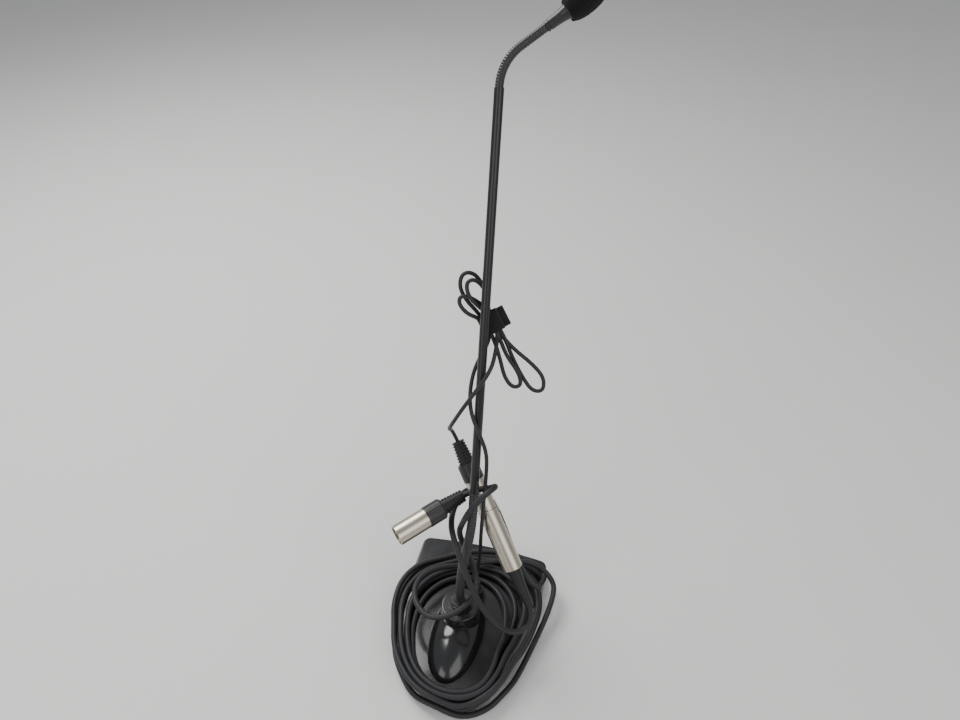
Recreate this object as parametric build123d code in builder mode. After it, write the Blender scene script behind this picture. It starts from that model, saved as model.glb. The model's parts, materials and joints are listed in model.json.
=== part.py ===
"""A gooseneck desk microphone with its lead, built piece by piece in millimetres.

Frame: +Z up, the floor at Z = 0, the origin under the middle of the base, the talker's side at -Y.
"""

from build123d import *
from math import cos, pi, radians, sin, tan
import os

os.makedirs("parts", exist_ok=True)

# ---------------------------------------------------------------- base sizes
base_half_width = 70.0        # half the width at the wide back edge
base_back = 84.0              # Y of the back corners
base_back_bow = 5.0           # how far the back edge bows out at its middle
base_shoulder = 40.0          # Y where the sides start to close in
nose_half_width = 47.0        # half the width where the round nose starts
nose_start = -48.0            # Y where the round nose starts
nose_tip = -88.0              # Y of the tip of the nose
corner_radius = 9.0
shoulder_radius = 60.0
shell_bottom = 2.0            # the feet hold the shell this far off the floor
plinth_top = 15.0
plinth_draft = 4.0            # degrees that the side walls lean in
plinth_edge_radius = 2.0
shell_wall = 2.5

# dome and boss share the neck's centre line
neck_x = -4.0
neck_y = -5.0
dome_y = -19.0
dome_half_length = 57.0
dome_radius = 28.0
dome_axis_z = 5.0
bead_radius = 20.0            # the raised bead round the boss's foot
bead_top = 33.6
boss_radius = 18.5
boss_top = 44.0
boss_roof = 5.0
boss_edge_radius = 1.2

# inside the base
cover_thickness = 1.5
cover_gap = 0.4
ballast_thickness = 5.5
ballast_margin = 4.0          # from the cover's edge to the ballast's edge
pillar_radius = 4.0
pillar_gap = 1.0
pillar_spots = [(-52, 66), (52, 66), (-36, -44), (32, -44)]
screw_radius = 1.5
screw_length = 7.0
screw_head_radius = 2.9
screw_head_height = 1.1
foot_radius = 8.0
foot_spots = [(-54, 44), (54, 44), (-40, -22), (40, -22), (0, 0)]
board_length = 30.0
board_width = 18.0
board_thickness = 1.6
board_bottom = 14.0
board_y = -44.0
stud_radius = 1.8
stud_inset = 3.0
board_screw_radius = 0.9
board_screw_head = 1.7

# neck socket, lock collar and the cable's gland
socket_radius = 7.0
socket_bore = 5.6
socket_bottom = 28.0
socket_floor = 2.0
socket_lip = 0.6              # how far the socket's floor reaches in under the flexible
socket_flange_radius = 11.5
socket_flange = 1.6
spigot_radius = 7.0
washer_radius = 12.0
washer_thickness = 1.0
nut_across = 11.0
nut_height = 5.0
collar_radius = 10.0
collar_height = 5.0
collar_facets = 12
clip_radius = 8.4
clip_height = 1.0
fit_gap = 0.1                 # between pieces pushed or screwed together
part_gap = 0.35               # between pieces that move past each other
gland_x = 5.0
gland_y = 27.0
gland_radius = 4.4
gland_flange_radius = 6.2
gland_flange = 2.0
gland_pad_top = 24.0
gland_top = 37.0
gland_neck_radius = 3.0
gland_bottom = 16.7

# ---------------------------------------------------------------- neck sizes
lower_flex_radius = 4.3
flex_radius = 3.5              # the upper flexible is thinner
flex_bore = 2.4
flex_foot = 31.0              # Z of the flexible's lower end inside the socket
ferrule_radius = 5.5
ferrule_top = 53.5
flex_rise = 88.0              # the flexible stands upright up to here
flex_reach = 35.0             # the tube's line runs on this far below its foot
tube_foot = Vector(2.0, 29.0, 176.0)
tube_head = Vector(-13.0, 173.0, 487.0)
tube_radius = 4.0
tube_bore = 3.35
tube_grip = 7.0               # how far each end ferrule goes into the tube and into the flexible
end_ferrule_bore = 1.95
ferrule_play = 0.15
hinge_gap = 1.6               # half the space between two flexible halves at a bend
wire_radius = 1.0
flex_straight = 1.0           # how far an end ferrule goes into the flexible

# upper flexible, head and windscreen
head_direction = Vector(0.757, 0.364, 0.545).normalized()
upper_straight = 1.0
upper_bend_radius = 38.0
upper_run_out = 23.0
first_bend_share = 0.3        # where along the arc each head joint sits
second_bend_share = 0.72
adapter_length = 18.0
adapter_thin = 4.3
adapter_waist = 4.5
adapter_wide = 5.8
adapter_grip = 7.0
groove_depth = 0.4
capsule_radius = 7.0
capsule_length = 22.0
capsule_wall = 1.0
capsule_tail = 3.0
element_radius = 5.2
element_length = 6.0
element_place = 12.0
grille_thickness = 1.0
grille_hole_radius = 0.8
foam_radius = 11.3
foam_back_radius = 8.6
foam_length = 34.0
foam_start = 0.5              # the foam's back edge, measured from the capsule's back
foam_gap = 0.3

# ---------------------------------------------------------------- plugs
lead_radius = 2.75
thin_radius = 1.8
cord_gap = 0.1
plug_radius = 9.5
plug_wall = 1.3
boot_length = 22.0
boot_thin = 6.0
boot_wide = 7.6
boot_rings = 7
ring_depth = 0.9
bushing_length = 17.0
bushing_radius = 9.9
bushing_spigot = 4.0
flute_count = 16
flute_radius = 0.6
shell_length = 31.0
pin_circle = 3.6
pin_radius = 1.2
pin_length = 10.0
insert_length = 8.0
insert_place = 12.0           # from the shell's back end to the insert
barrel_length = 61.0
nose_radius = 7.9
nose_length = 9.0
contact_radius = 1.9
contact_length = 9.0
seam_chamfer = 0.5
tab_width = 5.0
tab_length = 12.0
tab_thickness = 2.0
tab_travel = 0.8
spring_radius = 1.2
grub_radius = 1.4
relief_length = 40.0
relief_wide = 6.4
relief_thin = 3.7

free_plug_end = Vector(-10.0, 33.0, 163.0)          # where the lead enters the free plug
free_plug_direction = Vector(-0.673, -0.729, -0.128).normalized()
coupling_seam = Vector(12.0, 40.0, 141.0)          # where the mated plug meets the socket
coupling_direction = Vector(0.525, -0.46, -0.715).normalized()

# ---------------------------------------------------------------- cord routes
run_share = 0.45              # the share of the shorter run that each arc takes
cord_entry = 8.0              # how far a cord goes into a boot or a relief
plug_cord_end = coupling_seam - coupling_direction * (shell_length + bushing_length + boot_length)
relief_end = coupling_seam + coupling_direction * (barrel_length + relief_length)
socket_lead_points = [
    relief_end - coupling_direction * cord_entry, relief_end + coupling_direction * 5,
    (67, -18, 56), (57, -27, 53), (42, -31, 62), (27, -30, 81), (14, -24, 103), (3, -15, 124),
    (-8, -3, 140), (-17, 14, 144), (-18, 35, 147), (-13, 54, 147), (1, 66, 139), (15, 63, 119),
    (27, 54, 98), (38, 44, 78), (50, 36, 60), (60, 34, 42), (67, 42, 28), (69, 46, 25),
]
plug_lead_points = [
    free_plug_end + free_plug_direction * cord_entry, free_plug_end - free_plug_direction * 10,
    (15, 38, 175), (23, 31, 189), (14, 17, 189), (3, 11, 173), (-4, 8, 155), (-9, 13, 134),
    (-4, 15, 111), (2, 16, 92), (8, 11, 76), (12, -1, 66), (4, -16, 60), (-11, -28, 55), (-29, -31, 52),
    (-44, -21, 52), (-52, -4, 52), (-49, 14, 50), (-37, 28, 46), (-22, 40, 38), (-8, 49, 27),
]
rise_points = [
    (gland_x, gland_y, gland_top), (5, 27, 53), (7, 26, 75), (9, 25, 98), (10, 22, 122), (11, 23, 146),
    (11, 30, 168), (11, 38, 190), (10, 45, 212), (3, 46, 233), (-7, 55, 247), (-12, 69, 258),
    (-11, 83, 277), (-1, 98, 299),
]
drop_points = [
    (4, 98, 300), (7, 88, 296), (6, 75, 284), (-3, 62, 271), (-14, 53, 254), (-23, 53, 235),
    (-30, 61, 217), plug_cord_end - coupling_direction * 13, plug_cord_end + coupling_direction * cord_entry,
]
board_cable_points = [
    (gland_x, gland_y, gland_top), (gland_x, gland_y, 11.3), (4, 15, 11.5), (2, 0, 12), (-1, -16, 15),
    (neck_x, -32, 23), (neck_x, board_y, 24), (neck_x, board_y, board_bottom + board_thickness),
]
neck_lead_points = [
    (neck_x, neck_y, socket_bottom + 1), (neck_x, neck_y, 21), (neck_x - 3, -14, 19),
    (neck_x - 6, -26, 21), (neck_x - 8, -37, 22), (neck_x - 8, -37, board_bottom + board_thickness),
]

# the coil's plan, the height of its top and how that top slopes up towards the back
coil_outer = [(-86, 14), (-73, -29), (-56, -67), (-31, -92), (1, -101), (33, -96), (56, -74), (68, -46),
              (80, -5), (88, 34), (86, 60), (66, 78), (40, 86), (8, 83), (-42, 64), (-75, 45)]
coil_inner = [(-40, -7), (-36, -38), (-22, -64), (-6, -74), (16, -74), (28, -66), (32, -50), (27, -24),
              (26, 14), (8, 36), (-20, 34), (-34, 16)]
coil_middle_height = 26.0
coil_slope = 2.0              # degrees
coil_gap = 0.6

# the hank lies behind the neck, on a slant
hank_waist = Vector(-2, 105, 311)
hank_face = Vector(0.276, -0.837, 0.472).normalized()
hank_right = Vector(0.799, 0.472, 0.370)
hank_thickness = 8.0
hank_outline = [(6.5, 0), (9, 14), (11, 34), (6, 50), (-5, 46), (-16, 35), (-15, 24), (-9, 11), (-6.5, 0),
                (-7.5, -14), (-12, -46), (-8, -64), (2, -66), (13, -78), (19, -68), (14, -44), (8, -18)]
hank_waist_width = 13.0
strap_gap = 0.3
strap_thickness = 1.2
strap_width = 18.0
strap_tail = 7.0


def save(piece, name):
    """Label a finished piece and write it as one STEP file."""
    piece.part.label = name
    export_step(piece.part, f"parts/{name}.step")


def base_outline(inset):
    """The base's plan, a wide back with a tapered front, drawn smaller by inset."""
    with BuildSketch() as plan:
        with BuildLine():
            ThreePointArc((base_half_width, base_back), (0, base_back + base_back_bow),
                          (-base_half_width, base_back))
            Line((-base_half_width, base_back), (-base_half_width, base_shoulder))
            Line((-base_half_width, base_shoulder), (-nose_half_width, nose_start))
            ThreePointArc((-nose_half_width, nose_start), (0, nose_tip), (nose_half_width, nose_start))
            Line((nose_half_width, nose_start), (base_half_width, base_shoulder))
            Line((base_half_width, base_shoulder), (base_half_width, base_back))
        make_face()
        fillet(plan.vertices().group_by(Axis.Y)[-1], corner_radius)
        fillet(plan.vertices().filter_by(lambda v: abs(v.Y - base_shoulder) < 1), shoulder_radius)
        fillet(plan.vertices().filter_by(lambda v: abs(v.Y - nose_start) < 1), shoulder_radius)
        if inset:
            offset(amount=-inset, kind=Kind.INTERSECTION)
    return plan.sketch


def half_dome(shrink):
    """The upper half of a long egg lying along Y, smaller by shrink."""
    with BuildPart() as egg:
        with BuildSketch(Plane.XY.offset(dome_axis_z)):
            with Locations((neck_x, dome_y)):
                Ellipse(dome_radius - shrink, dome_half_length - shrink)
            with Locations((neck_x - dome_radius, dome_y)):
                Rectangle(2 * dome_radius, 2 * dome_half_length + 2, mode=Mode.SUBTRACT)
        revolve(axis=Axis((neck_x, dome_y, dome_axis_z), (0, -1, 0)), revolution_arc=180)
    return egg.part


def bend_radii(points):
    """The arc at each corner of a cord's route, from the shorter run beside it."""
    spots = [Vector(p) for p in points]
    radii = []
    for before, here, after in zip(spots, spots[1:], spots[2:]):
        turn = (here - before).get_angle(after - here)
        shorter = min((here - before).length, (after - here).length)
        radii.append(run_share * shorter / tan(radians(turn / 2)))
    return radii


def cord(points, radius, name):
    """Sweep one round cord along straight runs joined by arcs, and report how it bends."""
    radii = bend_radii(points)
    with BuildPart() as tube:
        with BuildLine() as path:
            FilletPolyline(*points, radius=radii)
        with BuildSketch(Plane(origin=path.line @ 0, z_dir=path.line % 0)):
            Circle(radius)
        sweep()
    length = sum(edge.length for edge in path.line.edges())
    print(name, f"length {length:.0f}, volume / (section x length) = "
          f"{tube.part.volume / (pi * radius ** 2 * length):.4f}, radii", [round(r) for r in radii])
    save(tube, name)


board_studs = [(neck_x + side * (board_length / 2 - stud_inset),
                board_y + end * (board_width / 2 - stud_inset))
               for side in (-1, 1) for end in (-1, 1)]
pillar_foot = shell_bottom + cover_thickness
roof_underside = boss_top - boss_roof
flange_top = boss_top + socket_flange

# ================================================================ base
# the hollow inside: plinth, dome and boss, each a wall smaller than outside
with BuildPart() as hollow:
    with BuildSketch():
        add(base_outline(shell_wall))
    extrude(amount=plinth_top - shell_wall)
    add(half_dome(shell_wall))
    with BuildSketch(Plane.XY.offset(dome_axis_z)):
        with Locations((neck_x, neck_y)):
            Circle(boss_radius - shell_wall)
    extrude(amount=roof_underside - dome_axis_z)

with BuildPart() as studs:
    with BuildSketch(Plane.XY.offset(board_bottom + board_thickness)):
        with Locations(*board_studs):
            Circle(stud_radius)
    extrude(amount=dome_radius)
    add(half_dome(shell_wall / 2), mode=Mode.INTERSECT)

with BuildPart() as base_shell:
    with BuildSketch(Plane.XY.offset(shell_bottom)):
        add(base_outline(0))
    extrude(amount=plinth_top - shell_bottom, taper=plinth_draft)
    fillet(base_shell.faces().sort_by(Axis.Z)[-1].edges(), plinth_edge_radius)
    add(half_dome(0))
    with BuildSketch(Plane.XY.offset(dome_axis_z)):
        with Locations((neck_x, neck_y)):
            Circle(bead_radius)
    extrude(amount=bead_top - dome_axis_z)
    with BuildSketch(Plane.XY.offset(dome_axis_z)):
        with Locations((gland_x, gland_y)):
            Circle(gland_flange_radius + 1)
    extrude(amount=gland_pad_top - dome_axis_z)
    with BuildSketch(Plane.XY.offset(dome_axis_z)):
        with Locations((neck_x, neck_y)):
            Circle(boss_radius)
    extrude(amount=boss_top - dome_axis_z)
    fillet(base_shell.edges().filter_by(GeomType.CIRCLE).group_by(Axis.Z)[-1], boss_edge_radius)
    add(hollow.part, mode=Mode.SUBTRACT)
    # pillars for the cover's screws, and studs that hold the board
    with BuildSketch(Plane.XY.offset(pillar_foot)):
        with Locations(*pillar_spots):
            Circle(pillar_radius)
    extrude(amount=plinth_top - shell_wall / 2 - pillar_foot)
    add(studs.part)
    with BuildSketch(Plane.XY.offset(pillar_foot)):
        with Locations(*pillar_spots):
            Circle(screw_radius + fit_gap)
    extrude(amount=screw_length, mode=Mode.SUBTRACT)
    # bores for the neck's socket and for the gland
    with BuildSketch(Plane.XY.offset(roof_underside - 1)):
        with Locations((neck_x, neck_y)):
            Circle(socket_radius + fit_gap)
    extrude(amount=boss_roof + 2, mode=Mode.SUBTRACT)
    with BuildSketch(Plane.XY.offset(gland_bottom)):
        with Locations((gland_x, gland_y)):
            Circle(gland_radius + fit_gap)
    extrude(amount=gland_pad_top - gland_bottom, mode=Mode.SUBTRACT)
save(base_shell, "base_shell")

with BuildPart() as bottom_cover:
    with BuildSketch(Plane.XY.offset(shell_bottom)):
        add(base_outline(shell_wall + cover_gap))
        with Locations(*pillar_spots):
            Circle(screw_radius + fit_gap, mode=Mode.SUBTRACT)
    extrude(amount=cover_thickness)
save(bottom_cover, "bottom_cover")

with BuildPart() as ballast_plate:
    with BuildSketch(Plane.XY.offset(pillar_foot)):
        add(base_outline(shell_wall + cover_gap + ballast_margin))
        with Locations(*pillar_spots):
            Circle(pillar_radius + pillar_gap, mode=Mode.SUBTRACT)
    extrude(amount=ballast_thickness)
save(ballast_plate, "ballast_plate")

with BuildPart() as rubber_feet:
    with BuildSketch():
        with Locations(*foot_spots):
            Circle(foot_radius)
    extrude(amount=shell_bottom)
    chamfer(rubber_feet.edges().group_by(Axis.Z)[0], 0.5)
save(rubber_feet, "rubber_feet")

with BuildPart() as cover_screws:
    with BuildSketch(Plane.XY.offset(shell_bottom - screw_head_height)):
        with Locations(*pillar_spots):
            Circle(screw_head_radius)
    extrude(amount=screw_head_height)
    with BuildSketch(Plane.XY.offset(shell_bottom)):
        with Locations(*pillar_spots):
            Circle(screw_radius)
    extrude(amount=screw_length)
save(cover_screws, "cover_screws")

with BuildPart() as junction_board:
    with BuildSketch(Plane.XY.offset(board_bottom)):
        with Locations((neck_x, board_y)):
            Rectangle(board_length, board_width)
        with Locations(*board_studs):
            Circle(board_screw_radius + fit_gap, mode=Mode.SUBTRACT)
    extrude(amount=board_thickness)
save(junction_board, "junction_board")

with BuildPart() as board_screws:
    with BuildSketch(Plane.XY.offset(board_bottom - 1)):
        with Locations(*board_studs):
            Circle(board_screw_head)
    extrude(amount=1)
    with BuildSketch(Plane.XY.offset(board_bottom)):
        with Locations(*board_studs):
            Circle(board_screw_radius)
    extrude(amount=board_thickness)
save(board_screws, "board_screws")

# the socket is turned in one piece: barrel, flange and the spigot for the collar
spigot_top = flange_top + part_gap + collar_height + part_gap + clip_height
with BuildPart() as neck_socket:
    with BuildSketch(Plane(origin=(neck_x, neck_y, 0), x_dir=(1, 0, 0), z_dir=(0, -1, 0))):
        with BuildLine():
            Polyline((lower_flex_radius - socket_lip, socket_bottom), (socket_radius, socket_bottom),
                     (socket_radius, boss_top), (socket_flange_radius, boss_top),
                     (socket_flange_radius, flange_top), (spigot_radius, flange_top),
                     (spigot_radius, spigot_top), (socket_bore, spigot_top),
                     (socket_bore, socket_bottom + socket_floor),
                     (lower_flex_radius - socket_lip, socket_bottom + socket_floor), close=True)
        make_face()
    revolve(axis=Axis((neck_x, neck_y, 0), (0, 0, 1)))
save(neck_socket, "neck_socket")

with BuildPart() as socket_washer:
    with BuildSketch(Plane.XY.offset(roof_underside - washer_thickness)):
        with Locations((neck_x, neck_y)):
            Circle(washer_radius)
            Circle(socket_radius + fit_gap, mode=Mode.SUBTRACT)
    extrude(amount=washer_thickness)
save(socket_washer, "socket_washer")

with BuildPart() as socket_nut:
    with BuildSketch(Plane.XY.offset(roof_underside - washer_thickness - nut_height)):
        with Locations((neck_x, neck_y)):
            RegularPolygon(nut_across, 6)
            Circle(socket_radius + fit_gap, mode=Mode.SUBTRACT)
    extrude(amount=nut_height)
save(socket_nut, "socket_nut")

with BuildPart() as lock_collar:
    with BuildSketch(Plane.XY.offset(flange_top + part_gap)):
        with Locations((neck_x, neck_y)):
            RegularPolygon(collar_radius, collar_facets)
            Circle(spigot_radius + part_gap, mode=Mode.SUBTRACT)
    extrude(amount=collar_height)
    chamfer(lock_collar.faces().sort_by(Axis.Z)[-1].outer_wire().edges(), 1.0)
save(lock_collar, "lock_collar")

with BuildPart() as collar_clip:
    with BuildSketch(Plane.XY.offset(spigot_top - clip_height)):
        with Locations((neck_x, neck_y)):
            Circle(clip_radius)
            Circle(spigot_radius + 0.02, mode=Mode.SUBTRACT)
    extrude(amount=clip_height)
save(collar_clip, "collar_clip")

with BuildPart() as cable_gland:
    with BuildSketch(Plane(origin=(gland_x, gland_y, 0), x_dir=(1, 0, 0), z_dir=(0, -1, 0))):
        with BuildLine():
            Polyline((thin_radius + cord_gap, gland_bottom), (gland_radius, gland_bottom),
                     (gland_radius, gland_pad_top), (gland_flange_radius, gland_pad_top),
                     (gland_flange_radius, gland_pad_top + gland_flange),
                     (gland_radius, gland_pad_top + gland_flange + 1), (gland_neck_radius, gland_top),
                     (thin_radius + cord_gap, gland_top), close=True)
        make_face()
    revolve(axis=Axis((gland_x, gland_y, 0), (0, 0, 1)))
save(cable_gland, "cable_gland")

# ================================================================ neck
tube_direction = (tube_head - tube_foot).normalized()
flex_corner = tube_foot - tube_direction * flex_reach
flex_points = [Vector(neck_x, neck_y, flex_foot), Vector(neck_x, neck_y, flex_rise), flex_corner,
               tube_foot]
flex_middle = (flex_points[1] + flex_corner) * 0.5
flex_run = (flex_corner - flex_points[1]).normalized()


def flex_half(points, radii, gap_plane, keep, name):
    """One half of a flexible: a hollow tube along its path, cut square at the bend."""
    with BuildPart() as half:
        with BuildLine() as path:
            FilletPolyline(*points, radius=radii)
        with BuildSketch(Plane(origin=path.line @ 0, z_dir=path.line % 0)):
            Circle(lower_flex_radius)
            Circle(flex_bore, mode=Mode.SUBTRACT)
        sweep()
        split(bisect_by=gap_plane, keep=keep)
    save(half, name)


lower_radii = bend_radii(flex_points)
flex_half(flex_points, lower_radii, Plane(origin=flex_middle - flex_run * hinge_gap, z_dir=flex_run),
          Keep.BOTTOM, "lower_flex_foot")
flex_half(flex_points, lower_radii, Plane(origin=flex_middle + flex_run * hinge_gap, z_dir=flex_run),
          Keep.TOP, "lower_flex_neck")

with BuildPart() as foot_ferrule:
    with BuildSketch(Plane.XY.offset(socket_bottom + socket_floor)):
        with Locations((neck_x, neck_y)):
            Circle(ferrule_radius)
            Circle(lower_flex_radius + 0.02, mode=Mode.SUBTRACT)
    extrude(amount=ferrule_top - socket_bottom - socket_floor)
    chamfer(foot_ferrule.faces().sort_by(Axis.Z)[-1].outer_wire().edges(), 0.6)
save(foot_ferrule, "foot_ferrule")

with BuildPart() as neck_tube:
    with BuildSketch(Plane(origin=tube_foot, z_dir=tube_direction)):
        Circle(tube_radius)
        Circle(tube_bore, mode=Mode.SUBTRACT)
    extrude(amount=(tube_head - tube_foot).length)
save(neck_tube, "neck_tube")

with BuildPart() as tube_ferrules:
    for end, inward in ((tube_foot, tube_direction), (tube_head, -tube_direction)):
        with BuildSketch(Plane(origin=end, z_dir=inward)):
            Circle(tube_bore - 0.02)
            Circle(end_ferrule_bore, mode=Mode.SUBTRACT)
        extrude(amount=tube_grip)
        with BuildSketch(Plane(origin=end, z_dir=-inward)):
            Circle(flex_bore - ferrule_play)
            Circle(end_ferrule_bore, mode=Mode.SUBTRACT)
        extrude(amount=flex_straight)
save(tube_ferrules, "tube_ferrules")

with BuildPart() as tube_wires:
    with BuildSketch(Plane(origin=tube_foot + tube_direction * 4, z_dir=tube_direction)):
        with Locations((wire_radius - 0.05, 0), (0.05 - wire_radius, 0)):
            Circle(wire_radius - fit_gap)
    extrude(amount=(tube_head - tube_foot).length - 8)
save(tube_wires, "tube_wires")

# the upper flexible bends over one arc between the tube's line and the head's line
upper_turn = tube_direction.get_angle(head_direction)
upper_tangent = upper_bend_radius * tan(radians(upper_turn / 2))
upper_corner = tube_head + tube_direction * (upper_straight + upper_tangent)
head_foot = upper_corner + head_direction * (upper_tangent + upper_run_out)
upper_points = [tube_head, upper_corner,
                head_foot + head_direction * adapter_grip]
bend_normal = tube_direction.cross(head_direction).normalized()
arc_start = tube_head + tube_direction * upper_straight
arc_centre = arc_start + bend_normal.cross(tube_direction) * upper_bend_radius


def arc_frame(share):
    """The point and the direction at a share of the way round the upper flexible's arc."""
    angle = upper_turn * share
    point = arc_start.rotate(Axis((0, 0, 0), bend_normal), angle)
    centre_turned = arc_centre.rotate(Axis((0, 0, 0), bend_normal), angle)
    direction = tube_direction.rotate(Axis((0, 0, 0), bend_normal), angle)
    return point - centre_turned + arc_centre, direction


def upper_piece(low_share, high_share, name):
    """A length of the upper flexible between two bends; None keeps that end whole."""
    with BuildPart() as piece:
        with BuildLine() as path:
            FilletPolyline(*upper_points, radius=[upper_bend_radius])
        with BuildSketch(Plane(origin=path.line @ 0, z_dir=path.line % 0)):
            Circle(flex_radius)
            Circle(flex_bore, mode=Mode.SUBTRACT)
        sweep()
        if low_share is not None:
            spot, way = arc_frame(low_share)
            split(bisect_by=Plane(origin=spot + way * hinge_gap, z_dir=way), keep=Keep.TOP)
        if high_share is not None:
            spot, way = arc_frame(high_share)
            split(bisect_by=Plane(origin=spot - way * hinge_gap, z_dir=way), keep=Keep.BOTTOM)
    save(piece, name)


upper_piece(None, first_bend_share, "upper_flex_lower")
upper_piece(first_bend_share, second_bend_share, "upper_flex_middle")
upper_piece(second_bend_share, None, "upper_flex_head")
first_pivot, first_way = arc_frame(first_bend_share)
second_pivot, second_way = arc_frame(second_bend_share)

# ================================================================ head
head_plane = Plane(origin=head_foot, x_dir=bend_normal, z_dir=head_direction)
profile_plane = Plane(origin=head_foot, x_dir=bend_normal, z_dir=bend_normal.cross(head_direction))
head_axis = Axis(head_foot, head_direction)


def turned(points, name):
    """A head piece turned about the head's axis from (radius, distance) points."""
    with BuildPart() as piece:
        with BuildSketch(profile_plane):
            with BuildLine():
                Polyline(*[(r, z) for r, z in points], close=True)
            make_face()
        revolve(axis=head_axis)
    save(piece, name)


capsule_end = adapter_length + capsule_length
turned([(flex_radius + 0.02, 0), (adapter_thin, 0), (adapter_thin, 1.5), (adapter_thin - groove_depth, 1.8),
        (adapter_thin - groove_depth, 2.6), (adapter_thin + 0.1, 2.9), (adapter_waist, 7),
        (adapter_waist + 0.4, 13), (adapter_wide, adapter_length), (flex_radius + 0.02, adapter_length)],
       "head_adapter")
turned([(capsule_tail, adapter_length), (adapter_wide, adapter_length),
        (capsule_radius, adapter_length + 2), (capsule_radius, capsule_end),
        (capsule_radius - capsule_wall, capsule_end),
        (capsule_radius - capsule_wall, adapter_length + 3), (capsule_tail, adapter_length + 3)],
       "capsule_housing")
element_start = adapter_length + element_place
turned([(0.0, element_start), (element_radius, element_start), (element_radius, element_start + element_length),
        (0.0, element_start + element_length)], "capsule_element")
turned([(element_radius + 0.02, element_start - 1), (capsule_radius - capsule_wall - 0.02, element_start - 1),
        (capsule_radius - capsule_wall - 0.02, element_start + element_length + 1),
        (element_radius + 0.02, element_start + element_length + 1)], "element_ring")

with BuildPart() as capsule_grille:
    with BuildSketch(head_plane.offset(capsule_end - grille_thickness)):
        Circle(capsule_radius - capsule_wall - 0.02)
        with PolarLocations(2.3, 6):
            Circle(grille_hole_radius, mode=Mode.SUBTRACT)
        with PolarLocations(4.4, 12):
            Circle(grille_hole_radius, mode=Mode.SUBTRACT)
        Circle(grille_hole_radius, mode=Mode.SUBTRACT)
    extrude(amount=grille_thickness)
save(capsule_grille, "capsule_grille")

foam_back = adapter_length + foam_start
foam_tip = foam_back + foam_length
foam_bore = capsule_radius + foam_gap
bore_end = capsule_end + foam_gap
with BuildPart() as windscreen:
    with BuildSketch(profile_plane):
        with BuildLine():
            Line((foam_bore, foam_back), (foam_back_radius, foam_back))
            Spline((foam_back_radius, foam_back), (0.95 * foam_radius, foam_back + 0.18 * foam_length),
                   (foam_radius, foam_back + 0.38 * foam_length),
                   (0.83 * foam_radius, foam_back + 0.75 * foam_length), (0, foam_tip),
                   tangents=((0.5, 1), (-1, 0)))
            Polyline((0, foam_tip), (0, bore_end), (foam_bore, bore_end), (foam_bore, foam_back))
        make_face()
    revolve(axis=head_axis)
save(windscreen, "windscreen")

# ================================================================ plugs


def along(origin, direction, side):
    """The workplane at a plug's cord end, looking along the plug, and its profile plane."""
    across = side - direction * side.dot(direction)
    across = across.normalized()
    return (Plane(origin=origin, x_dir=across, z_dir=direction),
            Plane(origin=origin, x_dir=across, z_dir=across.cross(direction)))


def turned_on(profile, points):
    """Turn one closed profile about its plane's own Y line."""
    with BuildPart() as piece:
        with BuildSketch(profile):
            with BuildLine():
                Polyline(*points, close=True)
            make_face()
        revolve(axis=Axis(profile.origin, profile.y_dir))
    return piece.part


def male_plug(prefix, origin, direction, side, cord_radius, slot):
    """One male plug: ribbed boot, fluted bushing, metal shell, insert and three pins."""
    place, profile = along(origin, direction, side)
    bore = cord_radius + cord_gap
    step = boot_length / (boot_rings * 2 + 1)
    rings = [(bore, 0.0)]
    for ring in range(boot_rings * 2 + 1):
        wide = boot_thin + (boot_wide - boot_thin) * ring / (boot_rings * 2)
        wide -= ring_depth * (ring % 2)
        rings += [(wide, ring * step), (wide, (ring + 1) * step)]
    rings.append((bore, boot_length))
    with BuildPart() as boot:
        add(turned_on(profile, rings))
    save(boot, f"{prefix}_boot")
    bushing_end = boot_length + bushing_length
    with BuildPart() as bushing:
        add(turned_on(profile, [(bore, boot_length), (bushing_radius - 0.6, boot_length),
                                (bushing_radius, boot_length + 1.5), (bushing_radius, bushing_end),
                                (plug_radius - plug_wall - 0.05, bushing_end),
                                (plug_radius - plug_wall - 0.05, bushing_end + bushing_spigot),
                                (bore, bushing_end + bushing_spigot)]))
        with BuildSketch(place.offset(boot_length + 1.5)):
            with PolarLocations(bushing_radius + flute_radius / 3, flute_count):
                Circle(flute_radius)
        extrude(amount=bushing_length - 3.5, mode=Mode.SUBTRACT)
    save(bushing, f"{prefix}_bushing")
    with BuildPart() as shell:
        with BuildSketch(place.offset(bushing_end)):
            Circle(plug_radius)
            Circle(plug_radius - plug_wall, mode=Mode.SUBTRACT)
        extrude(amount=shell_length)
        chamfer(shell.faces().sort_by(Axis(origin, direction))[-1].outer_wire().edges(), seam_chamfer)
        if slot:
            with BuildSketch(place.offset(bushing_end + shell_length - slot)):
                with Locations((plug_radius, 0)):
                    Rectangle(2.2 * plug_wall + 2, tab_width + 2 * part_gap)
            extrude(amount=slot, mode=Mode.SUBTRACT)
    save(shell, f"{prefix}_shell")
    with BuildPart() as insert:
        with BuildSketch(place.offset(bushing_end + insert_place)):
            Circle(plug_radius - plug_wall - 0.02)
            with PolarLocations(pin_circle, 3, start_angle=90):
                Circle(pin_radius + 0.02, mode=Mode.SUBTRACT)
        extrude(amount=insert_length)
    save(insert, f"{prefix}_insert")
    with BuildPart() as pins:
        with BuildSketch(place.offset(bushing_end + insert_place - 2)):
            with PolarLocations(pin_circle, 3, start_angle=90):
                Circle(pin_radius)
        extrude(amount=2 + insert_length + pin_length)
    save(pins, f"{prefix}_pins")


male_plug("free_plug", free_plug_end, free_plug_direction, Vector(0, 0, 1), lead_radius, 0)
latch_side = Vector(0.832, 0.466, 0.299)
male_plug("mic_plug", plug_cord_end, coupling_direction, latch_side, thin_radius,
          tab_length / 2 + part_gap)

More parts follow.
